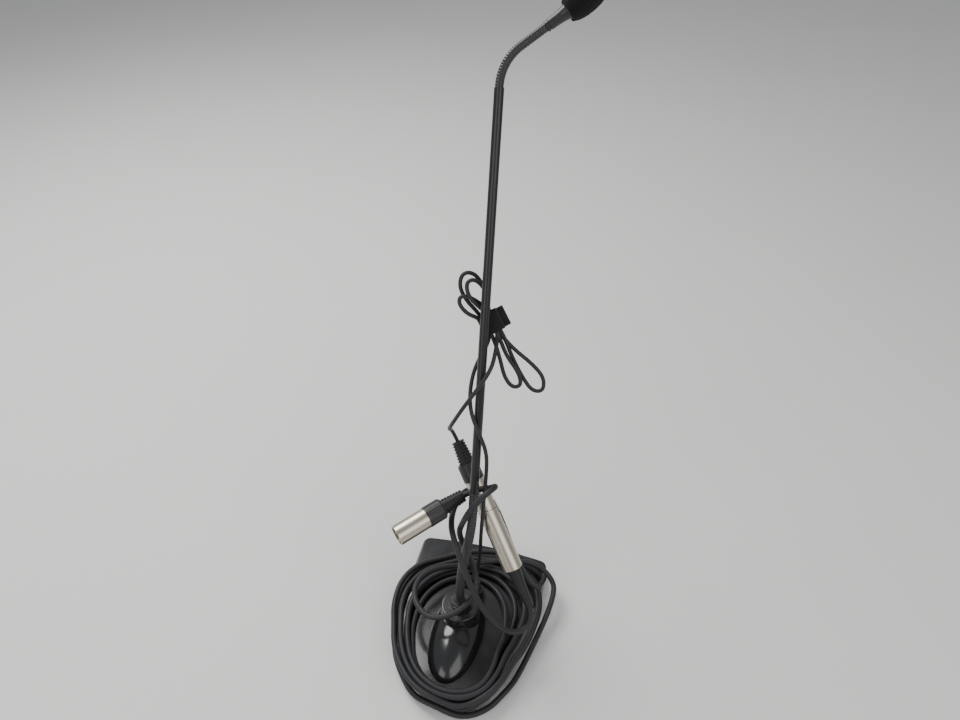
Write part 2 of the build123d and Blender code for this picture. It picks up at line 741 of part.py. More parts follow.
# the socket half of the coupling, measured from the seam towards the lead
socket_place, socket_profile = along(coupling_seam, coupling_direction, latch_side)
relief_bore = lead_radius + cord_gap
with BuildPart() as barrel:
    add(turned_on(socket_profile, [(plug_radius - plug_wall, 0), (plug_radius - seam_chamfer, 0),
                                   (plug_radius, seam_chamfer),
                                   (plug_radius, barrel_length - 1), (plug_radius - 1, barrel_length),
                                   (relief_wide + 0.1, barrel_length), (relief_wide + 0.1, barrel_length - 4),
                                   (plug_radius - plug_wall, barrel_length - 6)]))
    with BuildSketch(socket_place):
        with Locations((plug_radius, 0)):
            Rectangle(2.2 * plug_wall + 2, tab_width + 2 * part_gap)
    extrude(amount=tab_length / 2 + part_gap, mode=Mode.SUBTRACT)
    with BuildSketch(Plane(origin=coupling_seam + coupling_direction * (barrel_length - 6),
                           z_dir=-socket_place.y_dir)):
        Circle(grub_radius + fit_gap)
    extrude(amount=2 * plug_radius, mode=Mode.SUBTRACT)
save(barrel, "lead_socket_barrel")

with BuildPart() as socket_insert:
    with BuildSketch(socket_place.offset(-nose_length)):
        Circle(nose_radius)
        with PolarLocations(pin_circle, 3, start_angle=90):
            Circle(contact_radius + 0.02, mode=Mode.SUBTRACT)
        with Locations((plug_radius, 0)):
            Rectangle(2 * plug_radius - 12.4, tab_width + 2, mode=Mode.SUBTRACT)
    extrude(amount=nose_length + 10)
save(socket_insert, "lead_socket_insert")

with BuildPart() as contacts:
    with BuildSketch(socket_place.offset(-nose_length)):
        with PolarLocations(pin_circle, 3, start_angle=90):
            Circle(contact_radius)
            Circle(pin_radius + 0.05, mode=Mode.SUBTRACT)
    extrude(amount=nose_length + 12)
save(contacts, "lead_socket_contacts")

with BuildPart() as latch_tab:
    with BuildSketch(socket_place.offset(-tab_length / 2)):
        with Locations((plug_radius - tab_thickness / 2 + 0.5, 0)):
            Rectangle(tab_thickness, tab_width)
    extrude(amount=tab_length)
    chamfer(latch_tab.edges().filter_by(lambda e: e.length < tab_thickness + 0.01), 0.4)
save(latch_tab, "latch_tab")

with BuildPart() as latch_spring:
    with BuildSketch(Plane(origin=coupling_seam + coupling_direction * 2 + socket_place.x_dir * 6.3,
                           z_dir=socket_place.x_dir)):
        Circle(spring_radius)
        Circle(spring_radius - 0.5, mode=Mode.SUBTRACT)
    extrude(amount=plug_radius - tab_thickness + 0.5 - 6.3)
save(latch_spring, "latch_spring")

with BuildPart() as grub_screw:
    with BuildSketch(Plane(origin=coupling_seam + coupling_direction * (barrel_length - 6)
                           - socket_place.y_dir * (relief_wide + 0.2), z_dir=-socket_place.y_dir)):
        Circle(grub_radius)
    extrude(amount=plug_radius - relief_wide - 0.3)
save(grub_screw, "grub_screw")

with BuildPart() as strain_relief:
    add(turned_on(socket_profile, [(relief_bore, barrel_length - 10), (relief_wide, barrel_length - 10),
                                   (relief_wide, barrel_length + 3),
                                   (relief_thin, barrel_length + relief_length),
                                   (relief_bore, barrel_length + relief_length)]))
save(strain_relief, "strain_relief")

# ================================================================ cords
cord(socket_lead_points, lead_radius, "socket_lead")
cord(plug_lead_points, lead_radius, "plug_lead")
cord(rise_points, thin_radius, "mic_cable_rise")
cord(drop_points, thin_radius, "mic_cable_drop")
cord(board_cable_points, thin_radius, "board_cable")
cord(neck_lead_points, wire_radius, "neck_leads")

# the lead lies in a coil round the base; this is the coil's outer shape
with BuildPart() as lead_coil:
    with BuildSketch():
        with BuildLine():
            Spline(*coil_outer, periodic=True)
        make_face()
        with BuildLine():
            Spline(*coil_inner, periodic=True)
        make_face(mode=Mode.SUBTRACT)
    extrude(amount=2 * coil_middle_height)
    split(bisect_by=Plane(origin=(0, 0, coil_middle_height),
                          z_dir=(0, -sin(radians(coil_slope)), cos(radians(coil_slope)))), keep=Keep.BOTTOM)
    with BuildSketch():
        add(base_outline(-coil_gap))
    extrude(amount=plinth_top + coil_gap, mode=Mode.SUBTRACT)
    add(half_dome(-coil_gap), mode=Mode.SUBTRACT)
save(lead_coil, "lead_coil")

# the thin cable's slack is folded into a bow tied at its waist
hank_plane = Plane(origin=hank_waist, x_dir=hank_right, z_dir=hank_face)
with BuildPart() as mic_cable_hank:
    with BuildSketch(hank_plane):
        with BuildLine():
            Spline(*hank_outline, periodic=True)
        make_face()
    extrude(amount=hank_thickness / 2, both=True)
save(mic_cable_hank, "mic_cable_hank")

strap_plane = Plane(origin=hank_waist, x_dir=hank_right, z_dir=hank_plane.y_dir)
hole_width = hank_waist_width + 2 * strap_gap + 3.5
hole_depth = hank_thickness + 2 * strap_gap
with BuildPart() as cable_strap:
    with BuildSketch(strap_plane):
        RectangleRounded(hole_width + 2 * strap_thickness, hole_depth + 2 * strap_thickness, 2.4)
        RectangleRounded(hole_width, hole_depth, 1.2, mode=Mode.SUBTRACT)
    extrude(amount=strap_width / 2, both=True)
    with BuildSketch(strap_plane):
        with Locations((hole_width / 2 + strap_thickness + strap_tail / 2 - 0.5, 0)):
            Rectangle(strap_tail, strap_thickness)
    extrude(amount=strap_width / 2, both=True)
save(cable_strap, "cable_strap")
print("the neck bends at", flex_middle)
print("the head nods at", first_pivot, "about", bend_normal)
print("the head swings at", second_pivot, "about", second_way.cross(bend_normal))
print("the adapter starts at", head_foot)
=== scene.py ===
# %% [markdown]
# # A gooseneck desk microphone with its leads
# The solids come from the CAD model and stand in the right place already, in metres.
# This file gives them their finishes and builds what CAD leaves plain: the leads, the wound
# flexible parts, the foam and the band round the folded cable.

# %% Load the frame
import bmesh
import bpy
import json
from math import atan2, cos, hypot, pi, radians, sin, tan
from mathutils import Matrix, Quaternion, Vector, noise


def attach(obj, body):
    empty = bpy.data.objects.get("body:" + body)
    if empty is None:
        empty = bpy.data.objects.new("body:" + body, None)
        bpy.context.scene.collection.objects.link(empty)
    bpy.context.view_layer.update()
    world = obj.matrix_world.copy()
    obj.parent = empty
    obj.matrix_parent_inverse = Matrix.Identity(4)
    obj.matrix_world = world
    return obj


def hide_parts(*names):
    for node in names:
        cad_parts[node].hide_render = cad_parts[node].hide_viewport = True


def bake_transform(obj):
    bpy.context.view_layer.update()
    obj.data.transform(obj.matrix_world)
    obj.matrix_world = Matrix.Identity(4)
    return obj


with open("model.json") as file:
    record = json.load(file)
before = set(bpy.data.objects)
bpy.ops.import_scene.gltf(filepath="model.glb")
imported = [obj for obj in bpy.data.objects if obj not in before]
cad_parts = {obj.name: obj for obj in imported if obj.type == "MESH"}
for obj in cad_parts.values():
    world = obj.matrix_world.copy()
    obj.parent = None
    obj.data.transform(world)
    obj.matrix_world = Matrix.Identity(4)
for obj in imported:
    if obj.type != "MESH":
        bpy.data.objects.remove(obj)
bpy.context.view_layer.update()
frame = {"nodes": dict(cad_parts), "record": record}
nodes = frame["nodes"]

# %% [markdown]
# ## Camera
# The microphone is seen from above and a little from one side, as by someone standing at the
# table. The camera is placed by its distance, its height and the slope of its view.

# %% Camera
view = bpy.data.cameras.new("view")
view.lens = 27.04
view.sensor_width = 36.0
camera = bpy.data.objects.new("camera", view)
bpy.context.scene.collection.objects.link(camera)
camera.location = (0.1091, -0.3784, 0.685)
camera.rotation_euler = (radians(50), 0, radians(14))
bpy.context.scene.camera = camera
print("camera looks down by 40 degrees from", tuple(round(c, 3) for c in camera.location))

# %% [markdown]
# ## Where the leads run
# A lead is one soft length of cable. Its route is a short list of points that a smooth curve
# follows, so it bends the way rubber does and never kinks. The lists are in millimetres, as in the
# drawing of the part. The thick lead starts in the tapered sleeve of the coupling, climbs round the neck,
# lies in loose turns round the base and climbs again to the free plug.

# %% Points of the thick lead
lead_diameter = 0.0055
free_plug_end = Vector((-10, 33, 163))
free_plug_way = Vector((-0.673, -0.729, -0.128)).normalized()
coupling_seam = Vector((12, 40, 141))
coupling_way = Vector((0.525, -0.46, -0.715)).normalized()
relief_end = coupling_seam + coupling_way * 101
plug_cord_end = coupling_seam - coupling_way * 70
socket_side = [
    relief_end - coupling_way * 8, relief_end + coupling_way * 5, (67, -18, 56), (57, -27, 53),
    (42, -31, 62), (27, -30, 81), (14, -24, 103), (3, -15, 124), (-8, -3, 140), (-17, 14, 144),
    (-18, 35, 147), (-13, 54, 147), (1, 66, 139), (15, 63, 119), (27, 54, 98), (38, 44, 78),
    (50, 36, 60), (60, 34, 42), (67, 42, 28),
]
plug_side = [
    free_plug_end + free_plug_way * 8, free_plug_end - free_plug_way * 10, (15, 38, 175),
    (23, 31, 189), (14, 17, 189), (3, 11, 173), (-4, 8, 155), (-9, 13, 134), (-4, 15, 111),
    (2, 16, 92), (8, 11, 76), (12, -1, 66), (4, -16, 60), (-11, -28, 55), (-29, -31, 52),
    (-44, -21, 52), (-52, -4, 52), (-49, 14, 50), (-37, 28, 46), (-22, 40, 38),
]
print("points", len(socket_side), "and", len(plug_side))

# %% [markdown]
# ## The loose turns round the base
# Nobody winds a lead neatly round a microphone stand. The turns share one lopsided ring, from an
# inner outline near the dome to an outer one past the base's edge, and a loop spreads them between
# the two. Four turns lie below, spiralling outwards, and three lie on top of them and cross them.
# Each point rests on the base or on the floor.

# %% Outlines of the ring of turns
ring_centre = Vector((2, -14))
ring_outer = [(-83, 14), (-70, -29), (-53, -66), (-30, -89), (1, -98), (32, -93), (53, -72), (65, -45),
              (77, -5), (85, 34), (83, 58), (64, 75), (39, 83), (8, 80), (-40, 61), (-72, 43)]
ring_inner = [(-43, -7), (-39, -38), (-25, -66), (-6, -77), (16, -77), (31, -68), (35, -50), (30, -24),
              (29, 14), (8, 39), (-21, 37), (-37, 18)]


def reach(outline, angle):
    """How far the outline lies from the ring's centre in one direction."""
    polar = sorted((atan2(y - ring_centre.y, x - ring_centre.x), hypot(x - ring_centre.x, y - ring_centre.y))
                   for x, y in outline)
    polar = [(polar[-1][0] - 2 * pi, polar[-1][1])] + polar + [(polar[0][0] + 2 * pi, polar[0][1])]
    angle = (angle + pi) % (2 * pi) - pi
    for (a, r), (b, s) in zip(polar, polar[1:]):
        if a <= angle <= b:
            share = (angle - a) / (b - a)
            return r + (s - r) * share
    return polar[0][1]


def base_half_width(y):
    """Half the base's width at one place along it."""
    if y > 40:
        return 70
    if y > -48:
        return 47 + 23 * (y + 48) / 88
    return 47 * max(0, 1 - ((-48 - y) / 40) ** 2) ** 0.5


def support(x, y, spread):
    """The height of what a cord lies on: the base's top, the floor, and a soft slope between."""
    beyond = max(abs(x) - base_half_width(y), -88 - y, y - 89) - spread
    share = min(1, max(0, (beyond - 4) / 15))
    return 15.6 * (1 - share * share * (3 - 2 * share))


def turn_point(angle, share, layer, shift):
    """One point of the turns, at a share of the way from the inner outline to the outer one."""
    inside, outside = reach(ring_inner, angle), reach(ring_outer, angle)
    away = inside + (outside - inside) * share + shift * sin(2 * angle + 0.7)
    x = ring_centre.x + away * cos(angle)
    y = ring_centre.y + away * sin(angle)
    z = support(x, y, 7 * layer) + 2.9 + 5.8 * layer
    return (x, y, z)


steps = 20
first_angle = radians(48)
turns = []
for i in range(3 * steps - 2):
    angle = first_angle + 2 * pi * i / steps
    turns.append(turn_point(angle, 0.93 - 0.74 * i / (3 * steps), 1, 1.2))
for i in range(3):
    angle = first_angle + 2 * pi * (3 * steps - 1 + i) / steps
    low = turn_point(angle, 0.12, 0, 0)
    turns.append((low[0], low[1], low[2] + 5.8 - 2.9 * i))
lower_angle = first_angle + 2 * pi * (3 * steps + 2) / steps
for i in range(4 * steps - 5):
    turns.append(turn_point(lower_angle + 2 * pi * i / steps, 0.1 + 0.9 * i / (4 * steps), 0, 0.6))
way_out = [(86, 44, 21), (74, 62, 27), (54, 68, 31.5), (32, 64, 32), (12, 58, 32), (-6, 50, 34)]
print("turn points", len(turns))

# %% [markdown]
# ## A cord from its points
# A NURBS curve of order 3 stays close to its points and has no corners. Its round section is the
# curve's bevel. It is turned into a mesh here.

# %% Helpers that make a cord
def spline_curve(name, points, thickness):
    """A curve of one open NURBS spline through a list of points in millimetres."""
    curve = bpy.data.curves.new(name, "CURVE")
    curve.dimensions = "3D"
    spline = curve.splines.new("NURBS")
    spline.points.add(len(points) - 1)
    for knot, place in zip(spline.points, points):
        knot.co = (place[0] / 1000, place[1] / 1000, place[2] / 1000, 1)
    spline.order_u = 3
    spline.use_endpoint_u = True
    spline.resolution_u = 6
    curve.bevel_depth = thickness / 2
    curve.bevel_resolution = 5
    return curve


def centre_line(curve):
    """The points that the curve runs through, read from it with its bevel off."""
    thickness = curve.bevel_depth
    curve.bevel_depth = 0
    line = bpy.data.objects.new("line", curve)
    mesh = bpy.data.meshes.new_from_object(line)
    path = [v.co.copy() for v in mesh.vertices]
    curve.bevel_depth = thickness
    bpy.data.objects.remove(line)
    bpy.data.meshes.remove(mesh)
    return path


def length_of(path):
    return sum((b - a).length for a, b in zip(path, path[1:]))


def add_object(name, mesh):
    piece = bpy.data.objects.new(name, mesh)
    bpy.context.scene.collection.objects.link(piece)
    return piece


def cord_mesh(name, points, thickness):
    """The cord as a mesh object, with the line that it follows."""
    curve = spline_curve(name, points, thickness)
    path = centre_line(curve)
    holder = bpy.data.objects.new("holder", curve)
    mesh = bpy.data.meshes.new_from_object(holder)
    bpy.data.objects.remove(holder)
    mesh.name = name
    for face in mesh.polygons:
        face.use_smooth = True
    piece = add_object(name, mesh)
    print(name, "length", round(length_of(path), 3), "m")
    return piece, path


# %% The thick lead
lead, lead_path = cord_mesh("lead", socket_side + turns + way_out + plug_side[::-1], lead_diameter)
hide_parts("socket_lead", "plug_lead", "lead_coil")
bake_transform(lead)

# %% [markdown]
# ## The thin cable and its hank
# The microphone's own cable leaves the base through a gland, climbs beside the neck and is folded
# up, because it is longer than it needs to be. The folded part is a bow: the cable runs up and
# down through a tied waist and opens in loops above and below it. It is all one length of cable,
# so the loops are more points of the same curve, in the plane of the bow.

# %% Points of the thin cable
thin_diameter = 0.0036
rise = [
    (5, 27, 37), (5, 27, 53), (7, 26, 75), (9, 25, 98), (10, 22, 122), (11, 23, 146), (11, 30, 168),
    (11, 38, 190), (10, 45, 212), (3, 46, 233), (-7, 55, 247), (-12, 69, 258), (-11, 83, 277),
]
drop = [
    (7, 88, 296), (6, 75, 284), (-3, 62, 271), (-14, 53, 254), (-23, 53, 235), (-30, 61, 217),
    plug_cord_end - coupling_way * 13, plug_cord_end + coupling_way * 8,
]
bow_waist = Vector((-2, 105, 311))
bow_face = Vector((0.276, -0.837, 0.472)).normalized()
bow_right = Vector((0.799, 0.472, 0.370))
bow_right = (bow_right - bow_face * bow_right.dot(bow_face)).normalized()
bow_up = bow_face.cross(bow_right)
bow = [
    (-6, -13, -1.5), (-4, 0, -2), (-6, 13, -2.6), (-10, 26, -2.6), (-10, 40, -2.6), (-2, 49, -2.4),
    (7, 44, -2.4), (9, 30, -2.4), (5, 14, -2.2), (0, 0, -2), (3, -14, -2), (8, -32, -2.6), (16, -50, -3),
    (20, -66, -3), (14, -77, -2.6), (5, -72, -2.4), (3, -56, -2.2), (3, -36, -2), (5, -17, -2), (4, 0, -2),
    (2, 13, 0.6), (-4, 26, 2.2), (-12, 33, 2.4), (-17, 28, 2.4), (-15, 17, 2.2), (-8, 9, 2), (-4, 0, 2),
    (-4, -14, 2), (-7, -32, 2), (-11, -48, 2), (-9, -60, 2), (-1, -62, 2), (2, -50, 2), (-1, -32, 2),
    (1, -14, 2.2), (0, 0, 2), (4, 13, 2.4), (9, 28, 2.6), (5, 40, 3), (-3, 41, 3.6), (-7, 30, 6),
    (-2, 15, 5.6),
    (3, 6, 3), (4, 0, 2), (1, -11, 2.8),
]


def on_bow(right, up, out):
    """A point of the bow, from its place across, along and in front of the bow's plane."""
    return bow_waist + bow_right * right + bow_up * up + bow_face * out


thin_points = rise + [on_bow(*p) for p in bow] + drop
thin, thin_path = cord_mesh("thin_cable", thin_points, thin_diameter)
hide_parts("mic_cable_rise", "mic_cable_drop", "mic_cable_hank")
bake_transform(thin)

# %% [markdown]
# ## Wound flexible parts
# A gooseneck is a steel strip wound in a tight spiral. From close by it shows as fine slanting
# ribs. A swept tube whose radius rises and falls along a helix gives those ribs as real shape, so
# they catch the light at any angle. The line it follows is made of straight runs and arcs.

# %% Helpers for a ribbed sleeve
def rounded_line(points, radii, step):
    """Points along straight runs joined by arcs, a step apart."""
    spots = [Vector(p) for p in points]
    line = [spots[0]]
    for before, here, after, radius in zip(spots, spots[1:], spots[2:], radii):
        way_in = (here - before).normalized()
        way_on = (after - here).normalized()
        turn = way_in.angle(way_on)
        tangent = radius * tan(turn / 2)
        start = here - way_in * tangent
        axis = way_in.cross(way_on).normalized()
        centre = start + axis.cross(way_in) * radius
        count = max(2, int(radius * turn / step))
        line.append(start)
        for i in range(1, count + 1):
            line.append(centre + Quaternion(axis, turn * i / count) @ (start - centre))
    line.append(spots[-1])
    dense = []
    for a, b in zip(line, line[1:]):
        count = max(1, round((b - a).length / step))
        dense += [a.lerp(b, i / count) for i in range(count)]
    return dense + [line[-1]]


def sleeve(name, line, radius_at, sides):
    """A tube round a line, in metres, whose radius depends on the distance and the angle."""
    mesh = bpy.data.meshes.new(name)
    work = bmesh.new()
    way = (line[1] - line[0]).normalized()
    across = way.orthogonal().normalized()
    done = 0.0
    rings = []
    for i, spot in enumerate(line):
        ahead = (line[min(i + 1, len(line) - 1)] - line[max(i - 1, 0)]).normalized()
        across = (way.rotation_difference(ahead) @ across).normalized()
        way = ahead
        if i:
            done += (spot - line[i - 1]).length
        up = way.cross(across)
        ring = []
        for k in range(sides):
            angle = 2 * pi * k / sides
            r = radius_at(done, angle)
            ring.append(work.verts.new((spot + (across * cos(angle) + up * sin(angle)) * r) / 1000))
        rings.append(ring)
    for low, high in zip(rings, rings[1:]):
        for k in range(sides):
            work.faces.new((low[k], low[(k + 1) % sides], high[(k + 1) % sides], high[k]))
    work.faces.new(rings[0][::-1])
    work.faces.new(rings[-1])
    work.to_mesh(mesh)
    work.free()
    for face in mesh.polygons:
        face.use_smooth = True
    return add_object(name, mesh)


def wound(radius, pitch, depth, offset=0.0):
    """The radius of the wound strip: rounded ribs with a narrow groove between them."""
    def radius_at(distance, angle):
        place = ((distance + offset) / pitch - angle / (2 * pi)) % 1
        return radius - depth * abs(2 * place - 1) ** 3
    return radius_at


# %% The lower and the upper flexible
neck_x, neck_y = -4.0, -5.0
tube_foot = Vector((2, 29, 176))
tube_head = Vector((-13, 173, 487))
tube_way = (tube_head - tube_foot).normalized()
lower_points = [(neck_x, neck_y, 32), (neck_x, neck_y, 88), tube_foot - tube_way * 35, tube_foot]


def share_radius(points):
    """The arc at each corner, 0.45 of the shorter run beside it."""
    spots = [Vector(p) for p in points]
    result = []
    for a, b, c in zip(spots, spots[1:], spots[2:]):
        shorter = min((b - a).length, (c - b).length)
        result.append(0.45 * shorter / tan((b - a).angle(c - b) / 2))
    return result


lower_line = rounded_line(lower_points, share_radius(lower_points), 0.33)
lower_wound = (4.35, 2.9, 0.5)          # radius, pitch and depth of the ribs
flex_sides = 28
lower_flex = sleeve("lower_flexible", lower_line, wound(*lower_wound), flex_sides)
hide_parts("lower_flex_foot", "lower_flex_neck")
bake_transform(lower_flex)

head_way = Vector((0.757, 0.364, 0.545)).normalized()
bend_radius = 38.0
straight = 1.0
run_out = 23.0
upper_wound = (3.55, 2.2, 0.4)
bend_turn = tube_way.angle(head_way)
bend_tangent = bend_radius * tan(bend_turn / 2)
upper_corner = tube_head + tube_way * (straight + bend_tangent)
head_foot = upper_corner + head_way * (bend_tangent + run_out)
upper_line = rounded_line([tube_head, upper_corner, head_foot + head_way * 7], [bend_radius], 0.33)
turn_axis = tube_way.cross(head_way).normalized()
arc_start = tube_head + tube_way * straight
arc_centre = arc_start + turn_axis.cross(tube_way) * bend_radius


def along_arc(share):
    """The place and the direction at a share of the way round the upper bend."""
    turn = Quaternion(turn_axis, bend_turn * share)
    return arc_centre + turn @ (arc_start - arc_centre), turn @ tube_way


halfway = min(range(len(upper_line)), key=lambda i: (upper_line[i] - along_arc(0.51)[0]).length)
upper_low = sleeve("upper_flexible_low", upper_line[:halfway + 1], wound(*upper_wound), flex_sides)
offset = sum((b - a).length for a, b in zip(upper_line[:halfway + 1], upper_line[1:halfway + 1]))
upper_high = sleeve("upper_flexible_high", upper_line[halfway:], wound(*upper_wound, offset), flex_sides)
upper_joins = (
    (upper_low, 0.3, "neck", "flex_middle", ["upper_flex_lower", "upper_flex_middle"]),
    (upper_high, 0.72, "flex_middle", "head", ["upper_flex_head"]),
)
for piece, share, low, high, gone in upper_joins:
    place, way = along_arc(share)
    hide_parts(*gone)
    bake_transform(piece)
print("flexible lengths", round(length_of(lower_line)), round(length_of(upper_line)), "mm")

# %% [markdown]
# ## The foam windscreen
# The windscreen is a sleeve of open-cell foam that swells in front and closes over the capsule. It
# is turned from one smooth profile. Each point is moved a little by noise, so its outline is
# slightly uneven, as cut foam is. The small cells are a bump in the foam's finish.

# %% The foam
adapter_length = 18.0
foam_back = adapter_length + 0.5
foam_profile = [(7.5, foam_back + 4), (7.5, foam_back), (8.6, foam_back), (10.7, foam_back + 6),
                (11.4, foam_back + 13), (10.9, foam_back + 21), (8.7, foam_back + 29),
                (4.5, foam_back + 33.9), (0.1, foam_back + 34)]
foam_unevenness = 0.25
foam_sides = 72
profile_line = centre_line(spline_curve("foam_profile", [(r, z, 0) for r, z in foam_profile], 1))
turn_side = head_way.cross(turn_axis)
foam_mesh = bpy.data.meshes.new("windscreen_foam")
work = bmesh.new()
foam_rings = []
for spot in profile_line:
    ring = []
    for k in range(foam_sides):
        angle = 2 * pi * k / foam_sides
        out = turn_axis * cos(angle) + turn_side * sin(angle)
        middle = head_foot + head_way * spot.y * 1000
        place = middle + out * spot.x * 1000
        swell = foam_unevenness * noise.noise(place * 0.35) * min(1, spot.x * 500)
        ring.append(work.verts.new((place + out * swell) / 1000))
    foam_rings.append(ring)
for low, high in zip(foam_rings, foam_rings[1:]):
    for k in range(foam_sides):
        work.faces.new((low[k], low[(k + 1) % foam_sides], high[(k + 1) % foam_sides], high[k]))
work.faces.new(foam_rings[-1])
bmesh.ops.recalc_face_normals(work, faces=work.faces)
work.to_mesh(foam_mesh)
work.free()
for face in foam_mesh.polygons:
    face.use_smooth = True
foam = add_object("windscreen_foam", foam_mesh)
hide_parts("windscreen")
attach(foam, "windscreen")
print("foam faces", len(foam_mesh.polygons))

# %% [markdown]
# ## The band round the folded cable
# A hook-and-loop band goes round the waist of the bow and its end stands off at one side. One
# rounded section, thin and wide, is carried round a rounded rectangle, and again out along the end.

# %% The hook-and-loop band
band_width = 18.0
band_thickness = 1.2
band_reach = (8.55, 4.3)
band_tail = 7.0
band_steps = 96
band_section = [(0.1, -0.5), (0.9, -0.5), (1.0, -0.47), (1.0, -0.25), (1.0, 0), (1.0, 0.25), (1.0, 0.47),
                (0.9, 0.5), (0.1, 0.5), (0.0, 0.47), (0.0, 0), (0.0, -0.47)]


def band_ring(work, place, out):
    """One section of the band: thickness along out, width along the bow's length."""
    return [work.verts.new((place + out * t * band_thickness + bow_up * w * band_width) / 1000)
            for t, w in band_section]


def join_rings(work, low, high):
    count = len(low)
    for k in range(count):
        work.faces.new((low[k], low[(k + 1) % count], high[(k + 1) % count], high[k]))


def signed_root(value):
    return abs(value) ** 0.35 * (1 if value > 0 else -1)


band_mesh = bpy.data.meshes.new("cable_band")
work = bmesh.new()
loop = []
for i in range(band_steps):
    angle = 2 * pi * i / band_steps
    across = bow_right * band_reach[0] * signed_root(cos(angle))
    through = bow_face * band_reach[1] * signed_root(sin(angle))
    loop.append(bow_waist + across - through)
rings = []
for i, place in enumerate(loop):
    along = (loop[(i + 1) % band_steps] - loop[i - 1]).normalized()
    rings.append(band_ring(work, place, along.cross(bow_up)))
for i in range(band_steps):
    join_rings(work, rings[i - 1], rings[i])
tail_rings = []
for i in range(8):
    share = i / 7
    away = bow_right * (band_reach[0] + band_tail * share)
    out = bow_waist + away + bow_face * (0.6 - 0.5 * share ** 2)
    tail_rings.append(band_ring(work, out, -bow_face))
for low, high in zip(tail_rings, tail_rings[1:]):
    join_rings(work, low, high)
work.faces.new(tail_rings[0][::-1])
work.faces.new(tail_rings[-1])
bmesh.ops.recalc_face_normals(work, faces=work.faces)
work.to_mesh(band_mesh)
work.free()
band = add_object("cable_band", band_mesh)
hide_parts("cable_strap")
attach(band, "neck")
print("band faces", len(band_mesh.polygons))

# %% [markdown]
# ## Finishes
# Nothing on a used microphone has one flat colour. Two effects are shared. Grain varies the
# colour and the gloss in soft patches and gives a height for a fine bump. Dust lies on faces that
# look up and makes them paler and duller. Each is a node group with its own values in each finish.

# %% Helpers for the groups
def group_with(name, takes, gives):
    """An empty node group with its sockets, and its two end nodes."""
    group = bpy.data.node_groups.new(name, "ShaderNodeTree")
    for label, kind in takes:
        group.interface.new_socket(label, in_out="INPUT", socket_type=kind)
    for label, kind in gives:
        group.interface.new_socket(label, in_out="OUTPUT", socket_type=kind)
    return group, group.nodes.new("NodeGroupInput"), group.nodes.new("NodeGroupOutput")


def math_node(tree, operation, *values):
    """A Math node whose inputs are numbers or other nodes' outputs."""
    node = tree.nodes.new("ShaderNodeMath")
    node.operation = operation
    for socket, value in zip(node.inputs, values):
        if isinstance(value, (int, float)):
            socket.default_value = value
        else:
            tree.links.new(value, socket)
    return node.outputs[0]


# %% The grain group
number, colour = "NodeSocketFloat", "NodeSocketColor"
grain, grain_in, grain_out = group_with(
    "grain", [("Color", colour), ("Shade", number), ("Roughness", number), ("Spread", number),
              ("Patch Scale", number), ("Grain Scale", number)],
    [("Color", colour), ("Roughness", number), ("Height", number)])
place_node = grain.nodes.new("ShaderNodeTexCoord")
patches = grain.nodes.new("ShaderNodeTexNoise")
fine = grain.nodes.new("ShaderNodeTexNoise")
for texture, scale in ((patches, "Patch Scale"), (fine, "Grain Scale")):
    texture.inputs["Detail"].default_value = 4
    grain.links.new(place_node.outputs["Object"], texture.inputs["Vector"])
    grain.links.new(grain_in.outputs[scale], texture.inputs["Scale"])
centred = math_node(grain, "SUBTRACT", patches.outputs[0], 0.5)
shade = math_node(grain, "MULTIPLY", centred, grain_in.outputs["Shade"])
factor = math_node(grain, "ADD", shade, 1.0)
scaled = grain.nodes.new("ShaderNodeVectorMath")
scaled.operation = "SCALE"
grain.links.new(grain_in.outputs["Color"], scaled.inputs[0])
grain.links.new(factor, scaled.inputs["Scale"])
grain.links.new(scaled.outputs[0], grain_out.inputs["Color"])
spread = math_node(grain, "MULTIPLY", centred, grain_in.outputs["Spread"])
uneven = math_node(grain, "ADD", spread, grain_in.outputs["Roughness"])
grain.links.new(uneven, grain_out.inputs["Roughness"])
grain.links.new(fine.outputs[0], grain_out.inputs["Height"])
print("group", grain.name)

# %% The dust group
dust, dust_in, dust_out = group_with(
    "dust", [("Color", colour), ("Roughness", number), ("Amount", number)],
    [("Color", colour), ("Roughness", number)])
facing = dust.nodes.new("ShaderNodeNewGeometry")
parts_of_normal = dust.nodes.new("ShaderNodeSeparateXYZ")
dust.links.new(facing.outputs["Normal"], parts_of_normal.inputs[0])
specks = dust.nodes.new("ShaderNodeTexNoise")
specks.inputs["Scale"].default_value = 220
specks.inputs["Detail"].default_value = 6
dust_place = dust.nodes.new("ShaderNodeTexCoord")
dust.links.new(dust_place.outputs["Object"], specks.inputs["Vector"])
upward = math_node(dust, "MAXIMUM", parts_of_normal.outputs["Z"], 0.0)
settled = math_node(dust, "MULTIPLY", math_node(dust, "POWER", upward, 2.0), specks.outputs[0])
mask = math_node(dust, "MULTIPLY", settled, dust_in.outputs["Amount"])
blend_colour = dust.nodes.new("ShaderNodeMix")
blend_colour.data_type = "RGBA"
blend_colour.inputs[7].default_value = (0.33, 0.31, 0.29, 1)
dust.links.new(mask, blend_colour.inputs[0])
dust.links.new(dust_in.outputs["Color"], blend_colour.inputs[6])
dust.links.new(blend_colour.outputs[2], dust_out.inputs["Color"])
dust.links.new(math_node(dust, "ADD", dust_in.outputs["Roughness"], mask), dust_out.inputs["Roughness"])
print("group", dust.name)


